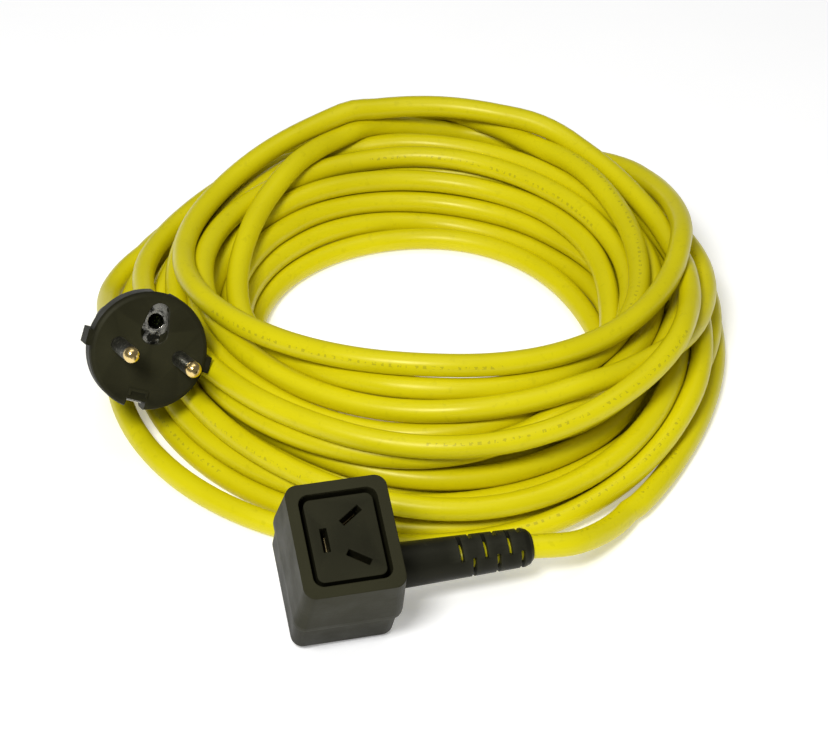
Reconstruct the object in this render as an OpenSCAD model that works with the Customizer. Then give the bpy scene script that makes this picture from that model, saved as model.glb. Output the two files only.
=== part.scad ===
// Shore power cord, lying coiled on a surface: a round pin plug with two pins and an
// earth socket, a long three-core lead in a loose coil, and a square right-angle connector
// with three slots. All sizes are millimetres and +Z is up.
// The origin is on the surface, under the middle of the box round the plug and connector.
// The plug is drawn with its pins along its own +Z, and the connector with its mating face
// on its own +Z and its cable leaving along its own +X. Both are then laid in place.

/* [Cord] */
// Outside diameter of the yellow jacket
cord_d = 7; // [6.8:0.1:7.6]
// Diameter of one insulated core
core_d = 2.6; // [2:0.1:3]

/* [Coil] */
// Inside radius of the coil of cord
coil_inner_r = 50; // [46:1:56]
// Outside radius of the coil of cord
coil_outer_r = 99; // [94:1:102]
// Height of the coil of cord
coil_h = 38; // [34:1:42]

/* [Plug] */
// Diameter of the plug's round face
plug_d = 35.6; // [35:0.1:37]
// Length of the plug's body behind its face
plug_len = 34; // [33:0.5:37]
// Diameter of a round pin
pin_d = 4.8; // [4:0.1:5]
// Length of a pin in front of the face
pin_len = 19; // [17:0.5:20]
// Distance between the two pins
pin_gap = 19; // [18:0.5:20]
// Distance of the earth hole from the line of the pins
earth_offset = 9; // [8.5:0.5:10]
// Diameter of the earth hole
earth_bore_d = 4.9; // [4.9:0.1:5.2]
// Length of the tapered sleeve that stands out behind the plug
plug_sleeve_len = 20; // [18:1:24]

/* [Connector] */
// Width of the mating face, along the cable
head_w = 28.5; // [27:0.5:30]
// Length of the mating face, across the cable
head_l = 33.5; // [32:0.5:36]
// Depth of the connector from its face to its base
head_h = 38; // [38:0.5:44]
// Depth of the front shell, where it meets the rear cover
head_split = 21; // [20:0.5:22]
// Thickness of the rim round the face
rim_w = 3.2; // [2.6:0.1:3.4]
// Width of the groove between the rim and the contact island
groove_w = 1.4; // [1.2:0.1:1.8]
// Length of a contact slot
slot_len = 7; // [6.5:0.1:7.2]
// Width of a contact slot
slot_w = 2; // [1.8:0.1:2.2]
// Distance of the cable's axis behind the mating face
exit_depth = 28.5; // [28:0.5:29.5]

/* [Strain relief] */
// Distance from the middle of the connector to the tip of its strain relief
boot_reach = 57; // [56:1:60]
// Diameter of the strain relief at the connector
boot_root_d = 13.2; // [12.5:0.1:13.6]
// Diameter of the strain relief at its tip
boot_tip_d = 11.2; // [10.5:0.1:12]
// Number of rows of slots in the strain relief
boot_rows = 6; // [3:1:6]
// Distance between two rows of slots
boot_pitch = 3.55; // [3.2:0.05:3.6]
// Width of one slot in the strain relief
boot_slot = 1.1; // [0.8:0.1:1.4]

/* [Hidden] */
$fn = 48;

// Cord and cores.
cord_r = cord_d / 2;
cord_hole_r = cord_r + 0.1;
core_r = core_d / 2;
cord_sides = 10;

// Plug.
plug_r = plug_d / 2;
plug_colour = "#26261f";
carrier_colour = "#34342c";
sleeve_colour = "#20201b";
shell_colour = "#2b2b24";
brass_colour = "#c9b98a";
plated_colour = "#b9b6a4";
contact_colour = "#c2a25a";
screw_colour = "#a9a9a2";
clamp_colour = "#d8d5c4";
live_colour = "#6b3a1e";
neutral_colour = "#2a4f96";
earth_colour = "#7d9a2e";
jacket_colour = "#d8cc14";
face_plate = 2.5;
carrier_r = 14.1;
carrier_back = 11.9;
pin_r = pin_d / 2;
pin_tip_r = 2;
pin_neck_r = 2.1;
pin_collar_r = 3.2;
pin_collar_z = -8.2;
pin_tail_z = -15.5;
strap_w = 5;
strap_t = 0.8;
strap_reach = 15.9;
strap_leg = 9.5;
strap_ring_r = 4.5;
notch_w = 5.9;
notch_r = 15;
notch_lip = 1.6;
lug_at = 17.7;
socket_r = 3.3;
socket_depth = 15;
barrel_r = 2.3;
barrel_hole_r = 1.65;
hollow_r = 12.3;
hollow_front = -11.8;
hollow_mid = -18;
sleeve_seat = 8;
sleeve_seat_r = 5.6;
hollow_back = sleeve_seat - plug_len;
plug_cord_end = hollow_back + 0.5;
plug_back = plug_len + plug_sleeve_len;
seam = 0.05;
cut = 1;

// Connector. The island and the cavities follow the face's size.
wall = rim_w;
head_r = 3.5;
flare = 1.2;
cavity_w = head_w - 2 * wall;
cavity_l = head_l - 2 * wall;
cavity_r = 3;
island_w = cavity_w - 2 * groove_w;
island_l = cavity_l - 2 * groove_w;
island_drop = 0.8;
island_base = 17;
fit_gap = 0.1;
cover_w = head_w + 0.8;
cover_l = head_l + 0.8;
cover_floor = 2.2;
contact_w = 6.4;
contact_t = 2.6;
contact_front = 7;
well_w = contact_w + 2 * fit_gap;
well_t = contact_t + 2 * fit_gap;
contact_back = -head_split - 0.5;
terminal_side = 4.2;
terminal_len = 4.4;
terminal_z = contact_back - terminal_len;
wire_hole_r = 1.45;
// Each slot on the face: its place, its turn, and the side of its terminal that takes the
// screw. Two slots are slanted, and the earth slot is straight.
slots = [[2.7, 6.2, 34, 1], [2.7, -6.2, -34, -1], [-5.6, 0, 90, 1]];
cover_screw_at = [[-8.6, -11.5], [-8.6, 11.5]];
cover_screw_r = 1.5;
clamp_x = 7.2;
clamp_w = 3.4;
clamp_l = 18;
clamp_top = -22.2;
clamp_low = -exit_depth - 2;
clamp_screw_y = 6.6;
clamp_screw_r = 1.25;
post_r = 1.8;

// Places. The middle of the coil, the middle of the plug's face and the middle of the
// connector's mating face, and the turns that lay the plug and the connector down.
coil_at = [33.7, 78.3, 0];
plug_at = coil_at + [-79, -51.5, 38];
plug_turn = [62, 23, 8.5];
head_turn = [26.5, 1.5, 14];
head_lift = head_r + sin(head_turn.y) * (cover_w / 2 - head_r)
    + cos(head_turn.y) * ((head_h - head_r) * cos(head_turn.x)
                          + (cover_l / 2 - head_r) * sin(head_turn.x));
head_at = coil_at + [-19.3, -136, head_lift];

// Room round the plug in the coil.
room_r = plug_r + 1.7;

// Strain relief.
boot_root_x = cover_w / 2;
boot_flange_r = 7;
boot_row_x = 35.7;
boot_slot_root_r = cord_hole_r - 0.4;

// Route of each free end of the cord, measured from the middle of the coil. It starts
// where the sleeve ends and stops just inside the coil's own solid.
plug_route = [[-99, 12, 7.5], [-99, 24, 4.5], [-95, 36, 4], [-88, 47, 4], [-81, 56, 4]];
connector_route = [[44, -107, 12], [53, -98, 8], [60, -88, 5], [65, -78, 4], [68, -70, 4]];
coil_section = [
    [coil_inner_r + 4, 0], [coil_outer_r - 5, 0], [coil_outer_r - 1, 3],
    [coil_outer_r, 9], [coil_outer_r - 2, 17], [coil_outer_r - 7, 26],
    [coil_outer_r - 14, coil_h - 3], [coil_outer_r - 22, coil_h],
    [coil_inner_r + 13, coil_h], [coil_inner_r + 6, coil_h - 4],
    [coil_inner_r + 1.5, 26], [coil_inner_r, 15], [coil_inner_r + 1, 5]
];

// A point of the plug or the connector, carried from its own axes to the object's.
function turned(p, a) = let (
    q = [p.x, p.y * cos(a.x) - p.z * sin(a.x), p.y * sin(a.x) + p.z * cos(a.x)],
    s = [q.x * cos(a.y) + q.z * sin(a.y), q.y, q.z * cos(a.y) - q.x * sin(a.y)]
) [s.x * cos(a.z) - s.y * sin(a.z), s.x * sin(a.z) + s.y * cos(a.z), s.z];
function on_plug(p) = plug_at + turned(p, plug_turn);
function on_head(p) = head_at + turned(p, head_turn);
function unit(v) = v / norm(v);

// The direction of a route at one of its points, and the ring of cord round that point.
function heading(route, i) =
    unit(route[min(i + 1, len(route) - 1)] - route[max(i - 1, 0)]);
function ring(centre, ahead, r, up) = let (
    side = unit(cross(ahead, up)),
    rise = cross(side, ahead)
) [for (k = [0:cord_sides - 1])
    centre + r * (cos(k * 360 / cord_sides) * side + sin(k * 360 / cord_sides) * rise)];

// A solid tube of round section along a route that never runs along up.
module tube(route, r, up = [0, 0, 1]) {
    n = cord_sides;
    last = len(route) - 1;
    points = [for (i = [0:last]) each ring(route[i], heading(route, i), r, up)];
    walls = [for (i = [0:last - 1], k = [0:n - 1])
        let (a = i * n + k, b = i * n + (k + 1) % n)
        each [[a, b + n, b], [a, a + n, b + n]]];
    near_end = [for (k = [0:n - 1]) k];
    far_end = [for (k = [0:n - 1]) (last + 1) * n - 1 - k];
    polyhedron(points, concat(walls, [near_end, far_end]));
}

// A core that leaves one point along from_way and comes into another against to_way.
module core(from, from_way, to, to_way) {
    steps = 8;
    tube([for (i = [0:steps]) let (t = i / steps, u = 1 - t)
        u * u * u * from + 3 * u * u * t * (from + from_way)
        + 3 * u * t * t * (to + to_way) + t * t * t * to], core_r, [0, 1, 0]);
}

// A rectangle with round corners, standing on its middle.
module rounded(w, l, r) {
    square([w - 2 * r, l], center = true);
    square([w, l - 2 * r], center = true);
    for (x = [-1, 1], y = [-1, 1])
        translate([x * (w / 2 - r), y * (l / 2 - r)]) circle(r = r);
}

// A slab with round corners, between two heights.
module slab(w, l, r, low, high) {
    translate([0, 0, low]) linear_extrude(high - low) rounded(w, l, r);
}

// A pan-head screw along +Z with its head on top, and a straight slot in the head.
module screw(r, shank, head_r, head_h) {
    difference() {
        union() {
            translate([0, 0, -shank]) cylinder(r = r, h = shank + 0.1);
            cylinder(r = head_r, h = head_h);
        }
        translate([-head_r, -0.4, head_h * 0.4]) cube([2 * head_r, 0.8, head_h]);
    }
}

// A part of a ring, from one angle round to another, about +Z.
module ring_sector(inner_r, outer_r, low, high, from, span) {
    rotate([0, 0, from])
        rotate_extrude(angle = span)
            translate([inner_r, low]) square([outer_r - inner_r, high - low]);
}

module at_plug() {
    translate(plug_at) rotate(plug_turn) children();
}

module at_head() {
    translate(head_at) rotate(head_turn) children();
}

module at_cable() {
    at_head() translate([0, 0, -exit_depth]) rotate([0, 90, 0]) children();
}

// ---- Plug ----

// The outside of the plug's body: a short drum that tapers back to the sleeve.
module plug_outside() {
    rotate_extrude()
        polygon([
            [0, 0], [plug_r - 1.4, 0], [plug_r - 0.4, -0.4], [plug_r, -1.4],
            [plug_r, -6.5], [plug_r - 0.8, -9], [plug_r - 2.1, -13],
            [plug_r - 4, -19], [plug_r - 5.8, -25], [plug_r - 7, 4 - plug_len],
            [plug_r - 7.6, 1 - plug_len], [plug_r - 8.8, -plug_len], [0, -plug_len]
        ]);
}

// The spaces inside the body: the carrier's pocket, the hollow for the crimps and cores,
// the clearance of the earth socket and the seat of the sleeve.
module plug_hollows() {
    translate([0, 0, -carrier_back - 0.1])
        cylinder(r = carrier_r + 0.1, h = carrier_back + 0.1 - face_plate);
    translate([0, 0, hollow_mid]) cylinder(r = hollow_r, h = hollow_front - hollow_mid);
    translate([0, 0, hollow_back])
        cylinder(r1 = sleeve_seat_r, r2 = hollow_r, h = hollow_mid + 0.1 - hollow_back);
    translate([0, earth_offset, -socket_depth - 0.1])
        cylinder(r = socket_r + seam, h = socket_depth - 10);
    translate([0, 0, -plug_len - cut])
        cylinder(r = sleeve_seat_r + seam, h = sleeve_seat + seam + cut);
}

// The pocket in the face round the earth hole, which bares the earth parts.
module earth_pocket() {
    hull() {
        translate([0, earth_offset + 2.6, -face_plate - 0.1]) cylinder(r = 3.2, h = 4, $fn = 32);
        translate([0, earth_offset - 2.8, -face_plate - 0.1]) cylinder(r = 4.2, h = 4, $fn = 32);
    }
}

module plug_body() {
    color(plug_colour)
        at_plug() {
            difference() {
                plug_outside();
                plug_hollows();
                for (x = [-1, 1])
                    translate([x * pin_gap / 2, 0, -4]) cylinder(r = pin_neck_r + seam, h = 4 + cut);
                earth_pocket();
                // Side notches of the earth clips. Only the lower one opens at the face.
                translate([-notch_w / 2, -notch_r - 6, -17]) cube([notch_w, 6, 17 + cut]);
                translate([-notch_w / 2, notch_r, -17]) cube([notch_w, 6, 17 - notch_lip]);
                translate([-strap_w / 2 - 0.1, -strap_reach - 0.1, -face_plate - strap_t - 0.2])
                    cube([strap_w + 0.2, 2 * strap_reach + 0.2, strap_t + 0.3]);
            }
            // Guide lugs on the line of the pins, and a small frame on the face.
            for (x = [-1, 1])
                translate([x * lug_at - 1.5, -2.4, -7.5]) cube([3, 4.8, 6.9]);
            translate([-3, -12.6, -0.1]) cube([6, 0.8, 0.6]);
            for (x = [-3, 2.2])
                translate([x, -13.8, -0.1]) cube([0.8, 1.3, 0.6]);
        }
}

module plug_carrier() {
    color(carrier_colour)
        at_plug()
            difference() {
                translate([0, 0, -carrier_back])
                    cylinder(r = carrier_r, h = carrier_back - face_plate);
                for (x = [-1, 1])
                    translate([x * pin_gap / 2, 0, -13]) {
                        cylinder(r = pin_neck_r + seam, h = 12);
                        cylinder(r = pin_collar_r + seam, h = 13 + pin_collar_z + seam);
                    }
                translate([0, earth_offset, -13]) cylinder(r = socket_r + seam, h = 12);
                // Seat of the earth strap across the front.
                translate([-strap_w / 2 - 0.1, -carrier_r - 1, -face_plate - strap_t - 0.1])
                    cube([strap_w + 0.2, 2 * carrier_r + 2, 3]);
                translate([0, earth_offset, -face_plate - strap_t - 0.1])
                    cylinder(r = strap_ring_r + 0.1, h = 3);
            }
}

// One round pin: its shank with a rounded tip, a neck, a collar and a crimp barrel.
module pin() {
    difference() {
        rotate_extrude()
            polygon(concat(
                [[0, pin_tail_z], [barrel_r, pin_tail_z], [barrel_r, pin_collar_z - 2.7],
                 [pin_collar_r, pin_collar_z - 2.7], [pin_collar_r, pin_collar_z],
                 [pin_neck_r, pin_collar_z], [pin_neck_r, 0], [pin_r, 0]],
                [for (a = [0:15:90])
                    [pin_r - pin_tip_r + pin_tip_r * cos(a), pin_len - pin_tip_r + pin_tip_r * sin(a)]],
                [[0, pin_len]]
            ));
        translate([0, 0, pin_tail_z - 1]) cylinder(r = barrel_hole_r, h = 4);
    }
}

module live_pin() {
    color(brass_colour) at_plug() translate([-pin_gap / 2, 0, 0]) pin();
}

module neutral_pin() {
    color(brass_colour) at_plug() translate([pin_gap / 2, 0, 0]) pin();
}

// The female earth contact: a tube split from behind, so that it grips an earth pin.
module earth_socket() {
    color(plated_colour)
        at_plug()
            translate([0, earth_offset, 0])
                difference() {
                    translate([0, 0, -socket_depth])
                        cylinder(r = socket_r, h = socket_depth - face_plate + 0.4);
                    translate([0, 0, -socket_depth - 1])
                        cylinder(r = earth_bore_d / 2, h = socket_depth + 1);
                    translate([-0.4, -5, -socket_depth - 1]) cube([0.8, 10, 8]);
                }
}

// The earth strap: a bar behind the face with a ring for the socket and a leg in each notch.
module earth_strap() {
    color(plated_colour)
        at_plug()
            difference() {
                translate([0, 0, -face_plate - strap_t])
                    union() {
                        translate([-strap_w / 2, -strap_reach, 0])
                            cube([strap_w, 2 * strap_reach, strap_t]);
                        translate([0, earth_offset, 0]) cylinder(r = strap_ring_r, h = strap_t);
                        for (y = [-strap_reach, strap_reach - strap_t])
                            translate([-strap_w / 2, y, -strap_leg])
                                cube([strap_w, strap_t, strap_leg + 0.1]);
                    }
                translate([0, earth_offset, -5]) cylinder(r = socket_r + 0.02, h = 5);
            }
}

// The tapered sleeve behind the plug, which holds the cord straight as it leaves.
module plug_sleeve() {
    free = plug_sleeve_len;
    color(sleeve_colour)
        at_plug()
            translate([0, 0, -plug_len])
                difference() {
                    rotate_extrude()
                        polygon([
                            [cord_hole_r, sleeve_seat], [sleeve_seat_r, sleeve_seat],
                            [sleeve_seat_r, 0], [7, 0], [6.8, -2], [5.7, 2 - free],
                            [5.2, 0.6 - free], [4.6, -free], [cord_hole_r, -free]
                        ]);
                    for (row = [0:3], half = [0, 180]) {
                        low = -5.2 - 3.2 * row;
                        from = half + 90 * (row % 2) + 35;
                        ring_sector(boot_slot_root_r, 9, low, low + boot_slot, from, 110);
                    }
                }
}

module plug_live_core() {
    color(live_colour)
        at_plug()
            core([-pin_gap / 2, 0, -12.8], [0, 0, -7], [-1.7, -1, plug_cord_end], [0, 0, 5]);
}

module plug_neutral_core() {
    color(neutral_colour)
        at_plug()
            core([pin_gap / 2, 0, -12.8], [0, 0, -7], [1.7, -1, plug_cord_end], [0, 0, 5]);
}

module plug_earth_core() {
    color(earth_colour)
        at_plug()
            core([0, earth_offset, -socket_depth - 0.2], [0, 0, -5], [0, 1.9, plug_cord_end], [0, 0, 5]);
}

// ---- Connector ----

// The front shell: a flared square tube whose front edge is the rim of the mating face.
module head_shell() {
    color(shell_colour)
        at_head()
            difference() {
                hull() {
                    slab(head_w, head_l, head_r, -0.5, 0, $fn = 32);
                    slab(head_w + 2 * flare, head_l + 2 * flare, head_r,
                        -head_split, -head_split + 2, $fn = 32);
                }
                slab(cavity_w, cavity_l, cavity_r, -head_split - 1, 1);
            }
}

// The rear cover: a deep tray with round bottom edges and the cable's way out on +X.
module rear_cover() {
    color(shell_colour)
        at_head()
            difference() {
                union() {
                    difference() {
                        hull() {
                            slab(cover_w, cover_l, head_r, -head_split - 6, -head_split, $fn = 32);
                            for (x = [-1, 1] * (cover_w / 2 - head_r))
                                for (y = [-1, 1] * (cover_l / 2 - head_r))
                                    translate([x, y, head_r - head_h]) sphere(r = head_r, $fn = 32);
                        }
                        slab(cavity_w, cavity_l, cavity_r, cover_floor - head_h, -head_split + 1);
                    }
                    // Posts of the cord clamp and of the cover screws.
                    for (y = [-1, 1])
                        translate([clamp_x, y * clamp_screw_y, 1 - head_h])
                            cylinder(r = post_r, h = clamp_low + head_h - 1);
                    for (p = cover_screw_at)
                        translate([p.x, p.y, 1 - head_h]) cylinder(r = 3, h = head_h - head_split - 1.1);
                }
                for (y = [-1, 1])
                    translate([clamp_x, y * clamp_screw_y, 2 - head_h])
                        cylinder(r = clamp_screw_r + 0.02, h = 20);
                translate([0, 0, -exit_depth]) rotate([0, 90, 0])
                    cylinder(r = boot_root_d / 2 + 0.05, h = head_w);
                for (p = cover_screw_at)
                    translate([p.x, p.y, -head_h - 1]) {
                        cylinder(r = cover_screw_r + 0.2, h = head_h);
                        cylinder(r = 2.2, h = 3.4);
                    }
            }
}

// The contact carrier: the island inside the rim, on a base that fills the shell.
module contact_carrier() {
    color(carrier_colour)
        at_head()
            difference() {
                union() {
                    slab(island_w, island_l, 2, -island_base - 0.1, -island_drop);
                    slab(cavity_w - 2 * fit_gap, cavity_l - 2 * fit_gap, cavity_r,
                        -head_split, -island_base);
                }
                for (s = slots)
                    translate([s.x, s.y, 0]) rotate([0, 0, s.z]) {
                        translate([-slot_len / 2, -slot_w / 2, -contact_front - cut])
                            cube([slot_len, slot_w, contact_front + 2 * cut]);
                        translate([-well_w / 2, -well_t / 2, -head_split - cut])
                            cube([well_w, well_t, head_split + cut + 0.1 - contact_front]);
                    }
                for (p = cover_screw_at)
                    translate([p.x, p.y, -head_split - 1]) cylinder(r = cover_screw_r + 0.05, h = 4.5);
            }
}

// A contact: two leaves with a gap for the blade, and a terminal block behind them.
module contact() {
    leaf_gap = 1.5;
    difference() {
        union() {
            translate([-contact_w / 2, -contact_t / 2, contact_back])
                cube([contact_w, contact_t, -contact_back - contact_front]);
            translate([-terminal_side / 2, -terminal_side / 2, terminal_z])
                cube([terminal_side, terminal_side, terminal_len + 0.1]);
        }
        translate([-contact_w, -leaf_gap / 2, contact_back + 4])
            cube([2 * contact_w, leaf_gap, -contact_back]);
        translate([0, 0, terminal_z - 1]) cylinder(r = wire_hole_r, h = 3.8);
    }
}

module placed_contact(s) {
    at_head() translate([s.x, s.y, 0]) rotate([0, 0, s.z]) contact();
}

module live_contact() {
    color(contact_colour) placed_contact(slots[0]);
}

module neutral_contact() {
    color(contact_colour) placed_contact(slots[1]);
}

module earth_contact() {
    color(contact_colour) placed_contact(slots[2]);
}

// One screw in the side of each terminal block.
module terminal_screws() {
    color(screw_colour)
        at_head()
            for (s = slots)
                translate([s.x, s.y, terminal_z + terminal_len - 2])
                    rotate([-90 * s[3], 0, s.z])
                        translate([0, 0, terminal_side / 2]) screw(1, 0, 1.5, 0.9);
}

// A saddle over the cord, screwed down to two posts of the rear cover.
module cord_clamp() {
    color(clamp_colour)
        at_head()
            difference() {
                translate([clamp_x - clamp_w / 2, -clamp_l / 2, clamp_low])
                    cube([clamp_w, clamp_l, clamp_top - clamp_low]);
                translate([clamp_x - clamp_w, 0, -exit_depth]) rotate([0, 90, 0])
                    cylinder(r = cord_hole_r, h = 2 * clamp_w);
                translate([clamp_x - clamp_w, -cord_hole_r, clamp_low - 1])
                    cube([2 * clamp_w, 2 * cord_hole_r, -exit_depth - clamp_low + 1]);
                for (y = [-1, 1])
                    translate([clamp_x, y * clamp_screw_y, clamp_low - 1])
                        cylinder(r = clamp_screw_r + 0.1, h = 12);
            }
}

module clamp_screws() {
    color(screw_colour)
        at_head()
            for (y = [-1, 1])
                translate([clamp_x, y * clamp_screw_y, clamp_top])
                    screw(clamp_screw_r, 13.6, 1.8, 1);
}

// Two long screws from the base of the cover up into the carrier.
module cover_screws() {
    color(screw_colour)
        at_head()
            for (p = cover_screw_at)
                translate([p.x, p.y, 2.4 - head_h]) rotate([180, 0, 0])
                    screw(cover_screw_r, head_h - 2.4 - head_split + 3.4, 2.1, 1.2);
}

// The strain relief: a tapered sleeve with staggered rows of slots, held by an inner flange.
module strain_relief() {
    color(sleeve_colour)
        at_cable()
            difference() {
                rotate_extrude()
                    polygon([
                        [cord_hole_r, cavity_w / 2 - 2], [boot_flange_r, cavity_w / 2 - 2],
                        [boot_flange_r, cavity_w / 2 - 0.1], [boot_root_d / 2, cavity_w / 2 - 0.1],
                        [boot_root_d / 2, boot_root_x + 4], [boot_tip_d / 2, boot_reach - 2.4],
                        [boot_tip_d / 2 - 0.5, boot_reach - 1], [boot_tip_d / 2 - 1.5, boot_reach],
                        [cord_hole_r, boot_reach]
                    ]);
                for (row = [0:boot_rows - 1])
                    for (half = [0, 180]) {
                        low = boot_row_x + row * boot_pitch - boot_slot / 2;
                        even = row % 2 == 0;
                        ring_sector(boot_slot_root_r, boot_root_d, low, low + boot_slot,
                            half + (even ? 134 : 30), even ? 84 : 120);
                    }
            }
}

// Where the cord's jacket ends inside the connector, and where a core goes into a terminal.
head_cord_end = [3, 0, -exit_depth];
function terminal(s) = [s.x, s.y, terminal_z + 0.5];

module head_live_core() {
    color(live_colour)
        at_head() core(terminal(slots[0]), [0, 0, -5], head_cord_end + [0, 1.6, 0.8], [-6, 0, 0]);
}

module head_neutral_core() {
    color(neutral_colour)
        at_head() core(terminal(slots[1]), [0, 0, -5], head_cord_end + [0, -1.6, 0.8], [-6, 0, 0]);
}

module head_earth_core() {
    color(earth_colour)
        at_head() core(terminal(slots[2]), [0, 0, -5], head_cord_end + [0, 0, -1.9], [-6, 0, 0]);
}

// ---- Cord ----

// Room for the plug, which lies in the outer edge of the coil.
module plug_room() {
    at_plug() {
        translate([0, 0, -14]) cylinder(r = room_r, h = 40);
        translate([0, 0, -plug_len - 1]) cylinder(r1 = 12, r2 = room_r, h = plug_len - 12.9);
        translate([0, 0, -plug_back - 12]) cylinder(r = 9, h = 40);
    }
}

// The coiled length of the cord, as the outer shape of its bundle of turns.
module cord_coil() {
    color(jacket_colour)
        difference() {
            translate(coil_at) rotate_extrude($fn = 96) polygon(coil_section);
            plug_room();
        }
}

// The free end that runs from inside the plug to the coil.
module plug_tail() {
    color(jacket_colour)
        tube(concat(
            [for (z = [plug_cord_end, -plug_len - 4, -plug_back - 1, -plug_back - 6])
                on_plug([0, 0, z])],
            [for (p = plug_route) coil_at + p]
        ), cord_r);
}

// The free end that runs from inside the connector to the coil.
module connector_tail() {
    color(jacket_colour)
        tube(concat(
            [for (x = [head_cord_end.x, 22, 40, boot_reach + 2])
                on_head([x, 0, -exit_depth])],
            [for (p = connector_route) coil_at + p]
        ), cord_r);
}

plug_body();
plug_carrier();
live_pin();
neutral_pin();
earth_socket();
earth_strap();
plug_sleeve();
plug_live_core();
plug_neutral_core();
plug_earth_core();
head_shell();
rear_cover();
contact_carrier();
live_contact();
neutral_contact();
earth_contact();
terminal_screws();
cord_clamp();
clamp_screws();
cover_screws();
strain_relief();
head_live_core();
head_neutral_core();
head_earth_core();
cord_coil();
plug_tail();
connector_tail();
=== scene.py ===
"""The looks of a shore power cord that lies coiled on a pale floor.

A round plug and a square connector sit on the two ends of one long yellow cord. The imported
model is the frame: its nodes stay where they are and get their materials here, and the cord's
solids are replaced by the real cord, which is laid turn by turn and left to settle.
Lengths are in metres, except where a name ends in _MM or _mm. Named angles are
in degrees, except where a name ends in _RADIANS.
"""
import math

import bpy
import numpy as np
from mathutils import Euler, Matrix, Vector


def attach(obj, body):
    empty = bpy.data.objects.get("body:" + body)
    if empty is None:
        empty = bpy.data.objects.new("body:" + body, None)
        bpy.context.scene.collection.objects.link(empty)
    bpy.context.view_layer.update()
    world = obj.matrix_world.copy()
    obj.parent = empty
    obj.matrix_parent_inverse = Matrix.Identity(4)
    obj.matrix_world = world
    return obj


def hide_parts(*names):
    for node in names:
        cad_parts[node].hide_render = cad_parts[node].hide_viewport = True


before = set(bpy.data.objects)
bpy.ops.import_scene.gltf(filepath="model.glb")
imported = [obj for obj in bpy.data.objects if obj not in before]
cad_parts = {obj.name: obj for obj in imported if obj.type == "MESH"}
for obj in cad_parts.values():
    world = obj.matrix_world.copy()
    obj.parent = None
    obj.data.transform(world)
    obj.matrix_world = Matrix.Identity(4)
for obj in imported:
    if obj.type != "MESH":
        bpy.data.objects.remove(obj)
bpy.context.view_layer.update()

MM = 0.001

# ---- Places ----

# The middle of the coil on the floor, and the faces of the plug and the connector, with the
# turns in degrees that lay them down. The plug's pins run along its own +Z. The connector's
# mating face looks along its own +Z, and its cable leaves along its own +X.
COIL_AT = Vector((0.0337, 0.0783, 0.0))
PLUG_AT = COIL_AT + Vector((-0.079, -0.0515, 0.038))
PLUG_TURN = (62, 23, 8.5)
HEAD_AT = COIL_AT + Vector((-0.0193, -0.136, 0.0407))
HEAD_TURN = (26.5, 1.5, 14)


def placed(at, turn):
    """The matrix that carries a piece from its own axes to where it lies."""
    return Matrix.Translation(at) @ Euler([math.radians(a) for a in turn]).to_matrix().to_4x4()


PLUG = placed(PLUG_AT, PLUG_TURN)
HEAD = placed(HEAD_AT, HEAD_TURN)

# ---- Camera ----

CAMERA_AT = COIL_AT + Vector((0, -0.6948, 0.5416))
CAMERA_TILT = 51.57
CAMERA_PAN = 0.08
CAMERA_LENS_MM = 120.3
SENSOR_WIDTH_MM = 36


def make_camera():
    data = bpy.data.cameras.new("camera")
    data.lens = CAMERA_LENS_MM
    data.sensor_width = SENSOR_WIDTH_MM
    camera = bpy.data.objects.new("camera", data)
    camera.location = CAMERA_AT
    camera.rotation_euler = (math.radians(CAMERA_TILT), 0, math.radians(CAMERA_PAN))
    bpy.context.scene.collection.objects.link(camera)
    bpy.context.scene.camera = camera


make_camera()

# ---- Cord ----

CORD_D = 0.007
# The modelled centreline is about 5 percent longer than the length declared for the real cord.
# How far below the connector's mating face the cable leaves it.
EXIT_DEPTH = 0.0285

# The free ends, measured from the middle of the coil: from the tip of the connector's strain
# relief to the coil, and from the coil to the end of the plug's sleeve.
CONNECTOR_ROUTE = [
    (0.044, -0.107, 0.012), (0.053, -0.098, 0.008), (0.060, -0.088, 0.005),
    (0.065, -0.078, 0.004), (0.068, -0.070, 0.004),
]
PLUG_ROUTE = [
    (-0.081, 0.056, 0.004), (-0.088, 0.047, 0.004), (-0.095, 0.036, 0.004),
    (-0.099, 0.024, 0.0045), (-0.099, 0.012, 0.0075),
]
# Where the cord goes on inside the strain relief and inside the sleeve, along their axes.
INSIDE_BOOT = (0.034, 0.046, 0.056)
INSIDE_SLEEVE = (-0.056, -0.045, -0.036)

# The radius of each turn at every eighth of a turn, in the order in which the turns are laid.
# Each row starts on the right of the coil, and the cord starts one eighth before the first.
START_ANGLE = -45
START_MM = 96
TURNS_MM = [
    (90, 94, 92, 90, 85, 84, 90, 91),
    (83, 86, 84, 83, 78, 77, 83, 84),
    (76, 78, 77, 76, 71, 70, 76, 74),
    (69, 70, 71, 69, 65, 65, 70, 68),
    (63, 63, 65, 62, 60, 61, 66, 64),
    (66, 67, 69, 65, 62, 64, 69, 68),
    (72, 74, 75, 71, 67, 69, 74, 73),
    (79, 82, 82, 78, 73, 75, 81, 80),
    (85, 89, 90, 86, 80, 81, 88, 86),
    (88, 93, 93, 92, 97, 102, 97, 95),
    (87, 87, 88, 84, 79, 80, 92, 90),
    (80, 80, 82, 77, 72, 73, 85, 83),
    (74, 73, 75, 69, 65, 67, 78, 77),
    (69, 68, 70, 65, 61, 64, 72, 71),
    (66, 69, 75, 71, 67, 69, 76, 78),
    (80, 86, 90, 82, 75, 74, 84, 80),
    (74, 78, 86, 74, 68, 69, 78, 75),
    (70, 72, 80, 73, 71, 66, 73, 80),
    (83, 92, 93, 69, 54, 61, 73, 72),
    (68, 76, 98, 93, 90, 73, 88, 87),
    (84, 84, 87, 81, 73, 63, 65, 71),
]
LAST_MM = (82, 95, 104, 102)
# Places where a turn swings wide of its row: the row, the angle, how far out in mm, and how
# many degrees away the swing has faded to about a third.
SWINGS = [(19, 162, 11, 13)]
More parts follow.
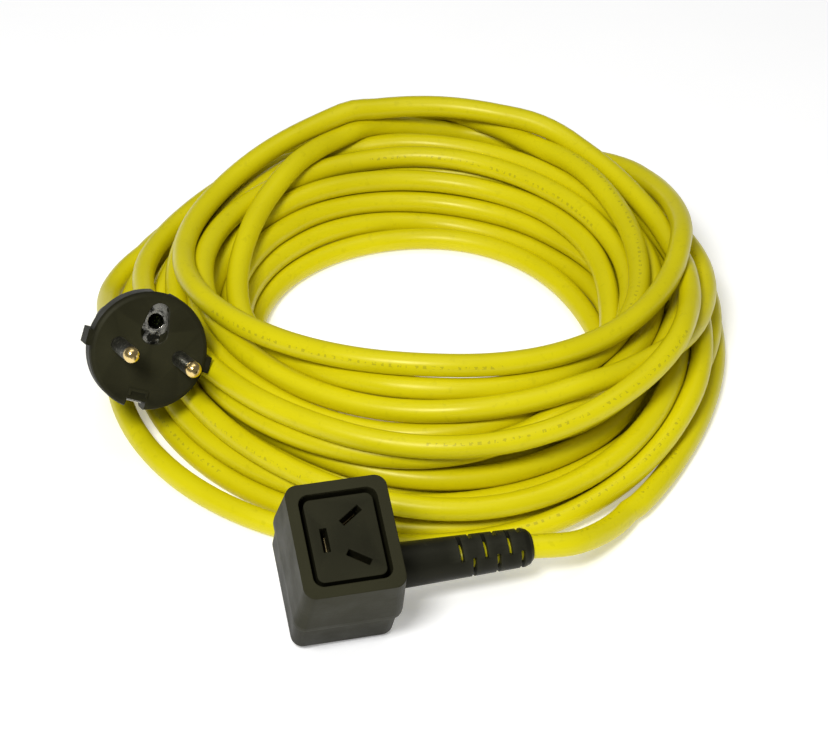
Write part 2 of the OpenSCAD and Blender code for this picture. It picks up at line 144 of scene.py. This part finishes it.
# Places where a turn is held up across a gap, as the cord is stiff: the row, the angle, the
# height in mm, and over how many degrees to each side.
SPANS = [(20, 262, 30, 50)]
# Points along one turn, the distance between points on the free ends, and the angle that is
# left open between a free end and the turns.
SAMPLES = 144
END_STEP = 0.0033
JOIN_RADIANS = 0.02
# The highest centreline at which the coil has sunk far enough, and how many rounds it may take.
COIL_TOP = 0.044
SETTLE_ROUNDS = 30
TUBE_SIDES = 14

# The round outline of the plug and its sleeve behind the face, which the turns are moved out
# of: depth behind the face and radius. The plug's two guide lugs stand outside it, and one turn
# cuts into the right one.
PLUG_OUTLINE = np.array([
    (-0.001, 0), (0, 0.0165), (0.0015, 0.0178), (0.0065, 0.0178), (0.009, 0.017),
    (0.013, 0.0157), (0.019, 0.0138), (0.025, 0.012), (0.030, 0.0108), (0.033, 0.0102),
    (0.036, 0.0068), (0.052, 0.0057), (0.055, 0),
])
# The spare room round the outline, and the depths between which turns are moved out of it.
PLUG_CLEARANCE = 0.0002
PLUG_FRONT = -0.003
PLUG_BACK = 0.054


def catmull(points, counts):
    """A smooth curve through the points, with its own count of samples for each stretch."""
    p = np.asarray(points, float)
    p = np.concatenate([[2 * p[0] - p[1]], p, [2 * p[-1] - p[-2]]])
    out = []
    for i, count in enumerate(counts):
        a, b, c, d = p[i:i + 4]
        for t in np.arange(count) / count:
            out.append(b + 0.5 * t * (c - a + t * (2 * a - 5 * b + 4 * c - d
                                                   + t * (3 * b - a - 3 * c + d))))
    out.append(p[-2])
    return np.array(out)


def through(points):
    """A smooth curve through points in space, sampled about every END_STEP."""
    gaps = np.linalg.norm(np.diff(np.array(points), axis=0), axis=1)
    return catmull(points, [max(2, round(gap / END_STEP)) for gap in gaps])


def softened(values, passes):
    """The values with their short waves smoothed away."""
    kernel = np.array([1, 4, 6, 4, 1]) / 16
    for _ in range(passes):
        values[2:-2] = np.convolve(values, kernel, "valid")
    return values


def cord_ends():
    """The cord's two free ends, measured from the middle of the coil."""
    from_boot = [HEAD @ Vector((x, 0, -EXIT_DEPTH)) - COIL_AT for x in INSIDE_BOOT]
    to_sleeve = [PLUG @ Vector((0, 0, z)) - COIL_AT for z in INSIDE_SLEEVE]
    return through(from_boot + CONNECTOR_ROUTE), through(PLUG_ROUTE + to_sleeve)


def coil_plan(first, last):
    """The turns from above, from one free end to the other, and their lowest heights."""
    stations = [START_MM] + [r for turn in TURNS_MM for r in turn] + list(LAST_MM)
    per = SAMPLES // len(TURNS_MM[0])
    radius = softened(catmull(stations, [per] * (len(stations) - 1)), 12) * MM
    angle = math.radians(START_ANGLE) + 2 * math.pi * np.arange(len(radius)) / SAMPLES
    low = math.atan2(first[1], first[0]) + JOIN_RADIANS
    high = 2 * math.pi * len(TURNS_MM) + math.atan2(last[1], last[0]) - JOIN_RADIANS
    for row, place, out_mm, width in SWINGS:
        away = (angle - math.radians(360 * row + place)) / math.radians(width)
        radius += out_mm * MM * np.exp(-away ** 2)
    lowest = np.full(len(radius), CORD_D / 2)
    for row, place, height_mm, width in SPANS:
        away = (angle - math.radians(360 * row + place)) / math.radians(width)
        lowest = np.maximum(lowest, height_mm * MM * (1 - away ** 4))
    kept = (angle > low) & (angle < high)
    radius = radius[kept]
    angle = angle[kept]
    return np.stack([radius * np.cos(angle), radius * np.sin(angle)], 1), lowest[kept]


def support(plan, laid):
    """The height at which each point of a plan rests on the cord that is already laid."""
    a = laid[:-1]
    run = laid[1:] - a
    along = ((plan[:, None] - a[:, :2]) * run[:, :2]).sum(2) / (run[:, :2] ** 2).sum(1)
    along = np.clip(along, 0, 1)[..., None]
    off = ((plan[:, None] - a[:, :2] - along * run[:, :2]) ** 2).sum(2)
    spare = CORD_D ** 2 - off
    height = a[:, 2] + along[..., 0] * run[:, 2] + np.sqrt(np.maximum(spare, 0))
    return np.where(spare > 0, height, CORD_D / 2).max(1)


def lay(plan, start):
    """Lays the plan half a turn at a time on all that lies under it, after the free end."""
    cord = np.concatenate([start, np.column_stack([plan, np.full(len(plan), CORD_D / 2)])])
    done = len(start)
    while done < len(cord):
        stop = min(len(cord), done + 3 * SAMPLES // 4)
        under = np.full(stop - done, CORD_D / 2)
        old = done - SAMPLES // 3
        if old > 2:
            under = np.maximum(under, support(cord[done:stop, :2], cord[:old]))
        height = under.copy()
        for _ in range(60):
            w = np.concatenate([[cord[done - 1, 2]] * 2, height, [height[-1]] * 2])
            bridged = (w[:-4] + 4 * w[1:-3] + 6 * w[2:-2] + 4 * w[3:-1] + w[4:]) / 16
            height = np.maximum(under, bridged)
        taken = min(SAMPLES // 2, stop - done)
        cord[done:done + taken, 2] = height[:taken]
        done += taken
    return cord


def close_pairs(points, reach, skip):
    """The pairs of points nearer than reach and further than skip samples along the cord."""
    cell = np.floor(points / reach).astype(int) + 1000
    key = (cell[:, 0] * 4096 + cell[:, 1]) * 4096 + cell[:, 2]
    order = np.argsort(key, kind="stable")
    sorted_keys = key[order]
    index = np.arange(len(points))
    first, second = [], []
    near_by = (-1, 0, 1)
    for shift in [(x * 4096 + y) * 4096 + z for x in near_by for y in near_by for z in near_by]:
        low = np.searchsorted(sorted_keys, key + shift, "left")
        high = np.searchsorted(sorted_keys, key + shift, "right")
        for k in range((high - low).max()):
            has = high - low > k
            i = index[has]
            j = order[low[has] + k]
            near = (j > i + skip) & (np.linalg.norm(points[i] - points[j], axis=1) < reach)
            first.append(i[near])
            second.append(j[near])
    return np.concatenate(first), np.concatenate(second)


def push_apart(cord, free, i, j, gap):
    """Moves each pair of points that is closer than gap apart, half each."""
    across = cord[i] - cord[j]
    distance = np.linalg.norm(across, axis=1) + 1e-9
    hit = distance < gap
    i, j = i[hit], j[hit]
    move = (gap / distance[hit] - 1)[:, None] * across[hit] / (free[i] + free[j] + 1e-9)[:, None]
    total = np.zeros_like(cord)
    count = np.zeros(len(cord))
    np.add.at(total, i, move * free[i][:, None])
    np.add.at(total, j, -move * free[j][:, None])
    np.add.at(count, i, 1)
    np.add.at(count, j, 1)
    cord += total / np.maximum(1, 0.55 * count)[:, None]


def clear_plug(cord, free):
    """Moves the turns out of the round outline of the plug and its sleeve."""
    axis = np.array(PLUG.to_3x3() @ Vector((0, 0, 1)))
    offset = cord - np.array(PLUG_AT - COIL_AT)
    depth = -offset @ axis
    out = offset + depth[:, None] * axis
    radius = np.linalg.norm(out, axis=1) + 1e-9
    need = np.interp(depth, PLUG_OUTLINE[:, 0], PLUG_OUTLINE[:, 1]) + CORD_D / 2 + PLUG_CLEARANCE
    hit = (radius < need) & (depth > PLUG_FRONT) & (depth < PLUG_BACK) & (free > 0)
    cord[hit] += 0.7 * (need / radius - 1)[hit, None] * out[hit]


def settle(cord, plan, lowest, free, steps, sink, hold):
    """Lets the cord sink: its turns are held near their places, smoothed and pushed apart."""
    gap = CORD_D * 1.007
    spacing = np.median(np.linalg.norm(np.diff(cord, axis=0), axis=1))
    skip = int(2.4 * gap / spacing) + 1
    for step in range(steps):
        if step % 8 == 0:
            i, j = close_pairs(cord, 1.5 * gap, skip)
        cord[:, 2] -= sink * free
        cord[:, :2] += hold * free[:, None] * (plan - cord[:, :2])
        for s, part in ((1, 0.3), (2, 0.3), (4, 0.2), (8, 0.12)):
            bend = np.zeros_like(cord)
            bend[2 * s:-2 * s] = (cord[:-4 * s] - 4 * cord[s:-3 * s] + 6 * cord[2 * s:-2 * s]
                                  - 4 * cord[3 * s:-s] + cord[4 * s:]) / 16
            cord -= part * free[:, None] * bend
        ahead = cord[2:] - cord[:-2]
        ahead /= np.linalg.norm(ahead, axis=1)[:, None]
        lag = (((cord[2:] + cord[:-2]) / 2 - cord[1:-1]) * ahead).sum(1)
        cord[1:-1] += (0.5 * lag * free[1:-1])[:, None] * ahead
        for _ in range(3):
            push_apart(cord, free, i, j, gap)
            clear_plug(cord, free)
            cord[:, 2] = np.maximum(cord[:, 2], lowest)


def cord_path():
    """The cord's centreline, in the row frame, from the strain relief to the sleeve."""
    start, end = cord_ends()
    plan, span = coil_plan(start[-1], end[0])
    cord = np.concatenate([lay(plan, start[:-1]), end])
    free = np.ones(len(cord))
    free[:len(start) - 5] = 0
    free[4 - len(end):] = 0
    home = cord[:, :2].copy()
    lowest = np.full(len(cord), CORD_D / 2)
    lowest[len(start) - 1:len(cord) - len(end)] = span
    for _ in range(SETTLE_ROUNDS):
        settle(cord, home, lowest, free, 20, 0.0001, 0.015)
        if cord[len(start):-len(end), 2].max() < COIL_TOP:
            break
    settle(cord, home, lowest, free, 80, 0.00001, 0.002)
    return cord + np.array(COIL_AT)


def tube(name, path, radius, sides):
    """A round tube along a path. Its UV map holds the length along it and the way round it."""
    ahead = np.gradient(path, axis=0)
    ahead /= np.linalg.norm(ahead, axis=1)[:, None]
    side = np.cross(ahead[0], (0, 0, 1.0))
    sides_at = []
    for d in ahead:
        side = side - (side @ d) * d
        side /= np.linalg.norm(side)
        sides_at.append(side)
    sides_at = np.array(sides_at)
    rise = np.cross(sides_at, ahead)
    angle = 2 * np.pi * np.arange(sides) / sides
    ring = (np.cos(angle)[None, :, None] * sides_at[:, None]
            + np.sin(angle)[None, :, None] * rise[:, None])
    points = (path[:, None] + radius * ring).reshape(-1, 3)
    along = np.concatenate([[0], np.cumsum(np.linalg.norm(np.diff(path, axis=0), axis=1))])
    faces = []
    corners = []
    for i in range(len(path) - 1):
        for k in range(sides):
            m = (k + 1) % sides
            faces.append((i * sides + k, i * sides + m, (i + 1) * sides + m, (i + 1) * sides + k))
            corners += [(along[i], k / sides), (along[i], (k + 1) / sides),
                        (along[i + 1], (k + 1) / sides), (along[i + 1], k / sides)]
    last = (len(path) - 1) * sides
    faces.append(tuple(range(sides))[::-1])
    faces.append(tuple(range(last, last + sides)))
    corners += [(0, 0)] * sides + [(along[-1], 0)] * sides
    mesh = bpy.data.meshes.new(name)
    mesh.from_pydata(points.tolist(), [], faces)
    uv = mesh.uv_layers.new(name="UVMap")
    uv.data.foreach_set("uv", np.array(corners, np.float32).ravel())
    mesh.shade_smooth()
    piece = bpy.data.objects.new(name, mesh)
    bpy.context.scene.collection.objects.link(piece)
    return piece


def make_cord():
    path = cord_path()
    cord = tube("cord", path, CORD_D / 2, TUBE_SIDES)
    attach(cord, "root")
    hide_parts("cord_coil", "plug_tail", "connector_tail")
    return cord


cord = make_cord()

# ---- Materials ----


class Paint:
    """A node material in the making: short calls for the nodes that the finishes here share."""

    def __init__(self, name):
        self.material = bpy.data.materials.new(name)
        self.material.use_nodes = True
        self.tree = self.material.node_tree
        self.shader = self.tree.nodes["Principled BSDF"]

    def node(self, kind, **values):
        made = self.tree.nodes.new("ShaderNode" + kind)
        for key, value in values.items():
            if key[0].isupper():
                made.inputs[key.replace("_", " ")].default_value = value
            else:
                setattr(made, key, value)
        return made

    def link(self, source, target):
        self.tree.links.new(source, target)

    def noise(self, scale, detail=4, rough=0.6):
        where = self.node("TexCoord")
        made = self.node("TexNoise", Scale=scale, Detail=detail, Roughness=rough)
        self.link(where.outputs["Object"], made.inputs["Vector"])
        return made.outputs["Fac"]

    def ramp(self, source, *stops):
        """Colour stops as (place, colour) or (place, grey)."""
        made = self.node("ValToRGB")
        ramp = made.color_ramp
        while len(ramp.elements) < len(stops):
            ramp.elements.new(0.5)
        for element, (place, value) in zip(ramp.elements, stops):
            element.position = place
            element.color = (*value, 1) if isinstance(value, tuple) else (value, value, value, 1)
        self.link(source, made.inputs["Fac"])
        return made.outputs["Color"]

    def mix(self, fac, a, b, blend="MIX"):
        made = self.node("MixRGB", blend_type=blend)
        for socket, value in zip(made.inputs, (fac, a, b)):
            if isinstance(value, bpy.types.NodeSocket):
                self.link(value, socket)
            elif isinstance(value, tuple):
                socket.default_value = (*value, 1)
            else:
                socket.default_value = value
        return made.outputs["Color"]

    def math(self, operation, a, b=0.0):
        made = self.node("Math", operation=operation)
        for socket, value in zip(made.inputs, (a, b)):
            if isinstance(value, bpy.types.NodeSocket):
                self.link(value, socket)
            else:
                socket.default_value = value
        return made.outputs["Value"]

    def set(self, **inputs):
        for key, value in inputs.items():
            socket = self.shader.inputs[key.replace("_", " ")]
            if isinstance(value, bpy.types.NodeSocket):
                self.link(value, socket)
            elif isinstance(value, tuple):
                socket.default_value = (*value, 1)
            else:
                socket.default_value = value

    def bump(self, height, strength, depth, edge=0.0):
        """Surface relief of that depth, on edges rounded by edge."""
        made = self.node("Bump", Strength=strength, Distance=depth)
        self.link(height, made.inputs["Height"])
        if edge:
            rounded = self.node("Bevel", samples=6, Radius=edge)
            self.link(rounded.outputs["Normal"], made.inputs["Normal"])
        self.link(made.outputs["Normal"], self.shader.inputs["Normal"])


DASHES_PER_M = 420
GROUPS_PER_M = 2.3


def jacket():
    """Yellow PVC: even and a little glossy, with slow changes of shade and faint worn print."""
    p = Paint("yellow_jacket")
    slow = p.ramp(p.noise(14, 3), (0.3, (0.60, 0.525, 0.002)), (0.7, (0.72, 0.64, 0.003)))
    specks = p.ramp(p.noise(420, 2), (0.28, 0.72), (0.40, 1.0))
    colour = p.mix(0.3, slow, specks, "MULTIPLY")
    uv = p.node("UVMap")
    split = p.node("SeparateXYZ")
    p.link(uv.outputs["UV"], split.inputs["Vector"])
    along, round_ = split.outputs["X"], split.outputs["Y"]
    # A line of small dashes on one side of the cord, in groups, and half worn away.
    dash = p.math("LESS_THAN", p.math("FRACT", p.math("MULTIPLY", along, DASHES_PER_M)), 0.5)
    group = p.math("LESS_THAN", p.math("FRACT", p.math("MULTIPLY", along, GROUPS_PER_M)), 0.22)
    turned = p.math("FRACT", p.math("ADD", round_, p.math("MULTIPLY", along, 0.21)))
    band = p.math("LESS_THAN", p.math("ABSOLUTE", p.math("SUBTRACT", turned, 0.3)), 0.022)
    worn = p.math("GREATER_THAN", p.noise(900, 1), 0.52)
    marks = p.math("MULTIPLY", p.math("MULTIPLY", dash, group), p.math("MULTIPLY", band, worn))
    colour = p.mix(p.math("MULTIPLY", marks, 0.35), colour, (0.16, 0.14, 0.02))
    rough = p.ramp(p.noise(60, 3), (0.3, 0.30), (0.7, 0.42))
    p.set(Base_Color=colour, Roughness=rough, Specular_IOR_Level=0.35, Specular_Tint=(1.0, 0.96, 0.6))
    p.bump(p.noise(900, 3), 0.12, 0.0002)
    return p.material


# The tint of the soft shine on the black plastics.
SHEEN = (0.92, 0.9, 0.68)


def moulded(name, dark, light, rough, grain=0.25, edge=0.0004):
    """Moulded plastic: fine grain, faint scuffs, and a painted highlight that makes the sharp edges
    paler.
    """
    p = Paint(name)
    colour = p.ramp(p.noise(35, 5), (0.35, dark), (0.75, light))
    scuff = p.ramp(p.noise(240, 6, 0.75), (0.62, 0.0), (0.72, 1.0))
    colour = p.mix(p.math("MULTIPLY", scuff, 0.25), colour, tuple(2.4 * c for c in light))
    # Painted highlight: the sharp convex edges, found by Pointiness, are mixed towards a pale tone.
    shape = p.node("NewGeometry")
    edges = p.ramp(shape.outputs["Pointiness"], (0.52, 0.0), (0.60, 1.0))
    colour = p.mix(p.math("MULTIPLY", edges, 0.35), colour, tuple(3 * c for c in light))
    shine = p.ramp(p.noise(90, 4), (0.3, rough - 0.06), (0.7, rough + 0.08))
    p.set(Base_Color=colour, Roughness=shine, Specular_IOR_Level=0.1, Specular_Tint=SHEEN)
    p.bump(p.noise(1600, 3), grain, 0.00012, edge)
    return p.material


def metal(name, base, tarnish_and_shade, rough, grain=300, sharp=0.12):
    """Turned or pressed metal: fine grain, dark spots and uneven shine. The dark spots are oxide on
    the contacts and screws, and painted shade on the plated earth parts.
    """
    p = Paint(name)
    spots = p.ramp(p.noise(grain, 5, 0.7), (0.54 - sharp, 0.0), (0.54 + sharp, 1.0))
    colour = p.mix(spots, base, tarnish_and_shade)
    shine = p.ramp(p.noise(500, 4), (0.3, rough - 0.08), (0.7, rough + 0.12))
    p.set(Base_Color=colour, Roughness=shine, Metallic=1.0)
    p.bump(p.noise(1400, 4), 0.2, 0.0001, 0.0002)
    return p.material


PIN_LENGTH = 0.019


def pin_metal():
    """Round pin: bright brass at the rounded tip; the shank is duller, and painted dark and spotted
    as a painted reflection of the black plug face.
    """
    p = Paint("pin_brass")
    axis = PLUG.to_3x3() @ Vector((0, 0, 1))
    where = p.node("TexCoord")
    offset = p.node("VectorMath", operation="SUBTRACT")
    offset.inputs[1].default_value = PLUG_AT
    along = p.node("VectorMath", operation="DOT_PRODUCT")
    along.inputs[1].default_value = axis
    p.link(where.outputs["Object"], offset.inputs[0])
    p.link(offset.outputs["Vector"], along.inputs[0])
    tip = p.ramp(p.math("MULTIPLY", along.outputs["Value"], 1 / PIN_LENGTH), (0.84, 0.0), (0.90, 1.0))
    # Painted reflection: the shank's colour is dark and spotted to stand in for the black plug face
    # mirrored in it.
    shank_painted_reflection = p.ramp(p.noise(900, 5, 0.75), (0.5, (0.10, 0.10, 0.085)), (0.72, (0.55, 0.54, 0.46)))
    colour = p.mix(tip, shank_painted_reflection, (0.80, 0.60, 0.25))
    rough = p.mix(tip, (0.42, 0.42, 0.42), (0.2, 0.2, 0.2))
    p.set(Base_Color=colour, Roughness=rough, Metallic=1.0)
    p.bump(p.noise(1500, 3), 0.15, 0.0001)
    return p.material


def core(name, colour):
    """The PVC of one insulated core."""
    p = Paint(name)
    shade = p.ramp(p.noise(120, 3), (0.3, tuple(0.8 * c for c in colour)), (0.7, colour))
    p.set(Base_Color=shade, Roughness=0.4)
    p.bump(p.noise(1200, 3), 0.1, 0.0001)
    return p.material


SHELL = moulded("black_shell", (0.009, 0.0085, 0.004), (0.016, 0.0155, 0.0075), 0.48)
INSERT = moulded("dark_insert", (0.010, 0.0098, 0.005), (0.016, 0.0155, 0.008), 0.5)
BOOT = moulded("black_boot", (0.009, 0.009, 0.006), (0.015, 0.015, 0.010), 0.42, 0.15, 0.0003)
CLAMP = moulded("clamp_plastic", (0.55, 0.52, 0.42), (0.68, 0.66, 0.56), 0.5)
PINS = pin_metal()
# The plated earth parts are near black with sharp bright spots: painted shade of the pocket they sit
# in, with the bright spots left as painted glints.
PLATED = metal("plated_metal", (0.92, 0.90, 0.80), (0.05, 0.05, 0.04), 0.25, 170, 0.04)
# The contact brass is painted darker than plain brass: painted shade for the deep slots it sits in.
CONTACT = metal("contact_brass", (0.45, 0.36, 0.18), (0.22, 0.17, 0.08), 0.4)
SCREW = metal("screw_steel", (0.55, 0.55, 0.52), (0.30, 0.29, 0.27), 0.34)
LIVE = core("core_brown", (0.16, 0.05, 0.015))
NEUTRAL = core("core_blue", (0.02, 0.08, 0.32))
EARTH = core("core_green_yellow", (0.22, 0.36, 0.03))
FINISHES = {
    "plug_body": SHELL, "plug_carrier": INSERT, "live_pin": PINS, "neutral_pin": PINS,
    "earth_socket": PLATED, "earth_strap": PLATED, "plug_sleeve": BOOT,
    "plug_live_core": LIVE, "plug_neutral_core": NEUTRAL, "plug_earth_core": EARTH,
    "head_shell": SHELL, "rear_cover": SHELL, "contact_carrier": INSERT,
    "live_contact": CONTACT, "neutral_contact": CONTACT, "earth_contact": CONTACT,
    "terminal_screws": SCREW, "cord_clamp": CLAMP, "clamp_screws": SCREW, "cover_screws": SCREW,
    "strain_relief": BOOT,
    "head_live_core": LIVE, "head_neutral_core": NEUTRAL, "head_earth_core": EARTH,
}


def dress(piece, material):
    piece.data.materials.clear()
    piece.data.materials.append(material)


dress(cord, jacket())
for node_name, finish in FINISHES.items():
    dress(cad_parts[node_name], finish)

# ---- Floor and light ----

FLOOR_HALF = 6


def make_floor():
    p = Paint("floor")
    tone = p.ramp(p.noise(6, 3), (0.3, 0.86), (0.7, 0.90))
    p.set(Base_Color=tone, Roughness=0.95, Emission_Color=(1.0, 1.0, 1.0), Emission_Strength=0.3)
    mesh = bpy.data.meshes.new("floor")
    corners = [(x * FLOOR_HALF, y * FLOOR_HALF, 0) for x, y in ((-1, -1), (1, -1), (1, 1), (-1, 1))]
    mesh.from_pydata(corners, [], [(0, 1, 2, 3)])
    floor = bpy.data.objects.new("floor", mesh)
    bpy.context.scene.collection.objects.link(floor)
    dress(floor, p.material)


def area_light(name, at, aim, size, power):
    data = bpy.data.lights.new(name, "AREA")
    data.size = size
    data.energy = power
    lamp = bpy.data.objects.new(name, data)
    lamp.location = at
    lamp.rotation_euler = (Vector(aim) - Vector(at)).to_track_quat("-Z", "Y").to_euler()
    bpy.context.scene.collection.objects.link(lamp)


def make_light():
    world = bpy.data.worlds.new("studio")
    world.use_nodes = True
    world.node_tree.nodes["Background"].inputs["Color"].default_value = (1, 1, 1, 1)
    world.node_tree.nodes["Background"].inputs["Strength"].default_value = 0.16
    bpy.context.scene.world = world
    centre = (0.03, 0.05, 0)
    area_light("key", (-0.2, -0.7, 1.0), centre, 0.3, 12.5)
    area_light("top", (0.15, 0.15, 1.4), centre, 1.0, 4.5)


make_floor()
make_light()
bpy.context.scene.view_settings.view_transform = "Standard"
